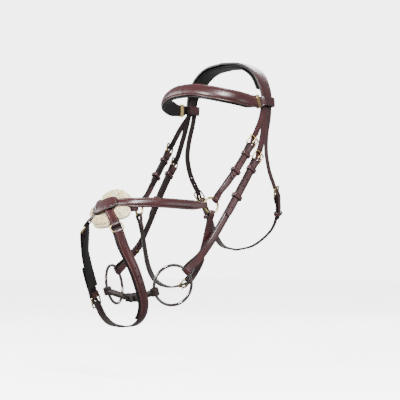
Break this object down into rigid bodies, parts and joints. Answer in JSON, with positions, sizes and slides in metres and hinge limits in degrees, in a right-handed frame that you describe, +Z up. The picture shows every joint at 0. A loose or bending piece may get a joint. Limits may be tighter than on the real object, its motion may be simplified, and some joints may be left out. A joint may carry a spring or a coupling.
{
  "type": "snaffle bridle",
  "caption": "Leather riding bridle with padded browband, crossing noseband on a sheepskin pad, buckled cheekpieces, throat lash and a jointed loose-ring bit.",
  "frame": {"origin": "middle of the crown's centre line over the poll, on the bridle's midplane", "axes": "+Z up, +X to the horse's left, -Y forward towards the nose"},
  "size_m": [0.218, 0.3764, 0.4758],
  "materials": {
    "leather": "raised and stitched havana bridle leather, waxed",
    "padding": "soft black lining leather",
    "sheepskin": "short cream fleece",
    "brass": "polished pale brass",
    "steel": "polished stainless steel",
    "mouth_rubber": "dark brown bit rubber"
  },
  "bodies": {
    "headstall": {"crown": "leather", "crown_lining": "padding", "sliphead": "leather", "cheekpiece_left": "leather", "cheekpiece_right": "leather", "cheek_keeper_left": "leather", "cheek_keeper_right": "leather", "cheek_stud_left": "brass", "cheek_stud_right": "brass", "hanger_left": "leather", "hanger_right": "leather", "hanger_keeper_left": "leather", "hanger_keeper_right": "leather", "nose_strap_left": "leather", "nose_strap_right": "leather", "nose_fleece": "sheepskin", "nose_patch": "leather", "nose_rivet": "brass", "chin_strap_left": "leather", "chin_strap_right": "leather", "jaw_strap_left": "leather", "jaw_strap_right": "leather", "throat_lash": "leather", "chin_lining_left": "padding", "chin_lining_right": "padding", "chin_loop_left": "brass", "chin_loop_right": "brass"},
    "browband_set": {"browband": "leather", "browband_lining": "padding", "browband_clip_left": "brass", "browband_clip_right": "brass"},
    "cheek_buckle_left": {"cheek_buckle_left": "brass"},
    "cheek_prong_left": {"cheek_prong_left": "brass"},
    "hanger_buckle_left": {"hanger_buckle_left": "brass"},
    "hanger_prong_left": {"hanger_prong_left": "brass"},
    "throat_buckle_left": {"throat_buckle_left": "brass"},
    "throat_prong_left": {"throat_prong_left": "brass"},
    "cheek_buckle_right": {"cheek_buckle_right": "brass"},
    "cheek_prong_right": {"cheek_prong_right": "brass"},
    "hanger_buckle_right": {"hanger_buckle_right": "brass"},
    "hanger_prong_right": {"hanger_prong_right": "brass"},
    "throat_buckle_right": {"throat_buckle_right": "brass"},
    "throat_prong_right": {"throat_prong_right": "brass"},
    "chin_buckle": {"chin_buckle": "brass"},
    "chin_prong": {"chin_prong": "brass"},
    "jaw_buckle": {"jaw_buckle": "brass"},
    "jaw_prong": {"jaw_prong": "brass"},
    "cheek_runner_left": {"cheek_runner_left": "leather"},
    "hanger_runner_left": {"hanger_runner_left": "leather"},
    "throat_runner_left": {"throat_runner_left": "leather"},
    "cheek_ring_left": {"cheek_ring_left": "brass"},
    "bit_ring_left": {"bit_ring_left": "steel"},
    "cheek_runner_right": {"cheek_runner_right": "leather"},
    "hanger_runner_right": {"hanger_runner_right": "leather"},
    "throat_runner_right": {"throat_runner_right": "leather"},
    "cheek_ring_right": {"cheek_ring_right": "brass"},
    "bit_ring_right": {"bit_ring_right": "steel"},
    "bit_link": {"bit_link": "steel"},
    "mouthpiece_left": {"mouthpiece_left": "mouth_rubber"},
    "mouthpiece_right": {"mouthpiece_right": "mouth_rubber"}
  },
  "joints": [
    {"name": "browband_slide", "type": "slide", "parent": "headstall", "child": "browband_set", "axis": [0, -0.0599, -0.9982], "range_m": [-0.003, 0.004]},
    {"name": "cheek_buckle_left_tilt", "type": "hinge", "parent": "headstall", "child": "cheek_buckle_left", "pos_m": [0.09993, -0.04132, -0.1849], "axis": [0.1263, 0.8138, -0.5673], "range_deg": [0, 12]},
    {"name": "cheek_prong_left_swing", "type": "hinge", "parent": "cheek_buckle_left", "child": "cheek_prong_left", "pos_m": [0.09993, -0.04132, -0.1849], "axis": [0.1263, 0.8138, -0.5673], "range_deg": [0, 45]},
    {"name": "hanger_buckle_left_tilt", "type": "hinge", "parent": "headstall", "child": "hanger_buckle_left", "pos_m": [0.09943, -0.05493, -0.15872], "axis": [0.1351, 0.8182, -0.5588], "range_deg": [0, 12]},
    {"name": "hanger_prong_left_swing", "type": "hinge", "parent": "hanger_buckle_left", "child": "hanger_prong_left", "pos_m": [0.09943, -0.05493, -0.15872], "axis": [0.1351, 0.8182, -0.5588], "range_deg": [0, 45]},
    {"name": "throat_buckle_left_tilt", "type": "hinge", "parent": "headstall", "child": "throat_buckle_left", "pos_m": [0.09171, 0.02746, -0.24369], "axis": [-0.1732, 0.8622, 0.4761], "range_deg": [0, 12]},
    {"name": "throat_prong_left_swing", "type": "hinge", "parent": "throat_buckle_left", "child": "throat_prong_left", "pos_m": [0.09171, 0.02746, -0.24369], "axis": [-0.1732, 0.8622, 0.4761], "range_deg": [0, 45]},
    {"name": "cheek_buckle_right_tilt", "type": "hinge", "parent": "headstall", "child": "cheek_buckle_right", "pos_m": [-0.09993, -0.04132, -0.1849], "axis": [0.1263, -0.8138, 0.5673], "range_deg": [0, 12]},
    {"name": "cheek_prong_right_swing", "type": "hinge", "parent": "cheek_buckle_right", "child": "cheek_prong_right", "pos_m": [-0.09993, -0.04132, -0.1849], "axis": [0.1263, -0.8138, 0.5673], "range_deg": [0, 45]},
    {"name": "hanger_buckle_right_tilt", "type": "hinge", "parent": "headstall", "child": "hanger_buckle_right", "pos_m": [-0.09943, -0.05493, -0.15872], "axis": [0.1351, -0.8182, 0.5588], "range_deg": [0, 12]},
    {"name": "hanger_prong_right_swing", "type": "hinge", "parent": "hanger_buckle_right", "child": "hanger_prong_right", "pos_m": [-0.09943, -0.05493, -0.15872], "axis": [0.1351, -0.8182, 0.5588], "range_deg": [0, 45]},
    {"name": "throat_buckle_right_tilt", "type": "hinge", "parent": "headstall", "child": "throat_buckle_right", "pos_m": [-0.09171, 0.02746, -0.24369], "axis": [-0.1732, -0.8622, -0.4761], "range_deg": [0, 12]},
    {"name": "throat_prong_right_swing", "type": "hinge", "parent": "throat_buckle_right", "child": "throat_prong_right", "pos_m": [-0.09171, 0.02746, -0.24369], "axis": [-0.1732, -0.8622, -0.4761], "range_deg": [0, 45]},
    {"name": "chin_buckle_tilt", "type": "hinge", "parent": "headstall", "child": "chin_buckle", "pos_m": [-0.05947, -0.27337, -0.42025], "axis": [-0.1604, 0.9181, 0.3624], "range_deg": [0, 12]},
    {"name": "chin_prong_swing", "type": "hinge", "parent": "chin_buckle", "child": "chin_prong", "pos_m": [-0.05947, -0.27337, -0.42025], "axis": [-0.1604, 0.9181, 0.3624], "range_deg": [0, 45]},
    {"name": "jaw_buckle_tilt", "type": "hinge", "parent": "headstall", "child": "jaw_buckle", "pos_m": [0.04111, -0.15024, -0.3925], "axis": [0.0503, -0.9939, 0.0979], "range_deg": [0, 12]},
    {"name": "jaw_prong_swing", "type": "hinge", "parent": "jaw_buckle", "child": "jaw_prong", "pos_m": [0.04111, -0.15024, -0.3925], "axis": [0.0503, -0.9939, 0.0979], "range_deg": [0, 45]},
    {"name": "cheek_runner_left_slide", "type": "slide", "parent": "headstall", "child": "cheek_runner_left", "axis": [-0.0873, -0.5577, -0.8254], "range_m": [-0.005, 0.005]},
    {"name": "hanger_runner_left_slide", "type": "slide", "parent": "headstall", "child": "hanger_runner_left", "axis": [-0.0864, -0.631, -0.771], "range_m": [-0.005, 0.005]},
    {"name": "throat_runner_left_slide", "type": "slide", "parent": "headstall", "child": "throat_runner_left", "axis": [-0.2993, 0.1906, -0.9349], "range_m": [-0.005, 0.005]},
    {"name": "cheek_ring_left_turn", "type": "hinge", "parent": "headstall", "child": "cheek_ring_left", "pos_m": [0.088, -0.1425, -0.266], "axis": [0.9511, -0.309, 0], "continuous": true},
    {"name": "bit_ring_left_turn", "type": "hinge", "parent": "headstall", "child": "bit_ring_left", "pos_m": [0.07116, -0.21814, -0.40063], "axis": [0.9063, -0.3945, -0.1512], "continuous": true},
    {"name": "cheek_runner_right_slide", "type": "slide", "parent": "headstall", "child": "cheek_runner_right", "axis": [0.0873, -0.5577, -0.8254], "range_m": [-0.005, 0.005]},
    {"name": "hanger_runner_right_slide", "type": "slide", "parent": "headstall", "child": "hanger_runner_right", "axis": [0.0864, -0.631, -0.771], "range_m": [-0.005, 0.005]},
    {"name": "throat_runner_right_slide", "type": "slide", "parent": "headstall", "child": "throat_runner_right", "axis": [0.2993, 0.1906, -0.9349], "range_m": [-0.005, 0.005]},
    {"name": "cheek_ring_right_turn", "type": "hinge", "parent": "headstall", "child": "cheek_ring_right", "pos_m": [-0.088, -0.1425, -0.266], "axis": [-0.9511, -0.309, 0], "continuous": true},
    {"name": "bit_ring_right_turn", "type": "hinge", "parent": "headstall", "child": "bit_ring_right", "pos_m": [-0.07116, -0.21814, -0.40063], "axis": [-0.9063, -0.3945, -0.1512], "continuous": true},
    {"name": "bit_link_slide", "type": "slide", "parent": "headstall", "child": "bit_link", "axis": [0, -0.9338, -0.3579], "range_m": [-0.004, 0.004]},
    {"name": "mouthpiece_left_bend", "type": "hinge", "parent": "bit_link", "child": "mouthpiece_left", "pos_m": [0.012, -0.24256, -0.42177], "axis": [0, -0.3579, 0.9338], "range_deg": [-5.2, 5.2]},
    {"name": "mouthpiece_right_bend", "type": "hinge", "parent": "bit_link", "child": "mouthpiece_right", "pos_m": [-0.012, -0.24256, -0.42177], "axis": [0, -0.3579, 0.9338], "range_deg": [-5.2, 5.2]}
  ],
  "couplings": [
    {"joint": "mouthpiece_left_bend", "follows": "bit_link_slide", "rad_per_m": 22.222},
    {"joint": "mouthpiece_right_bend", "follows": "bit_link_slide", "rad_per_m": -22.222}
  ]
}
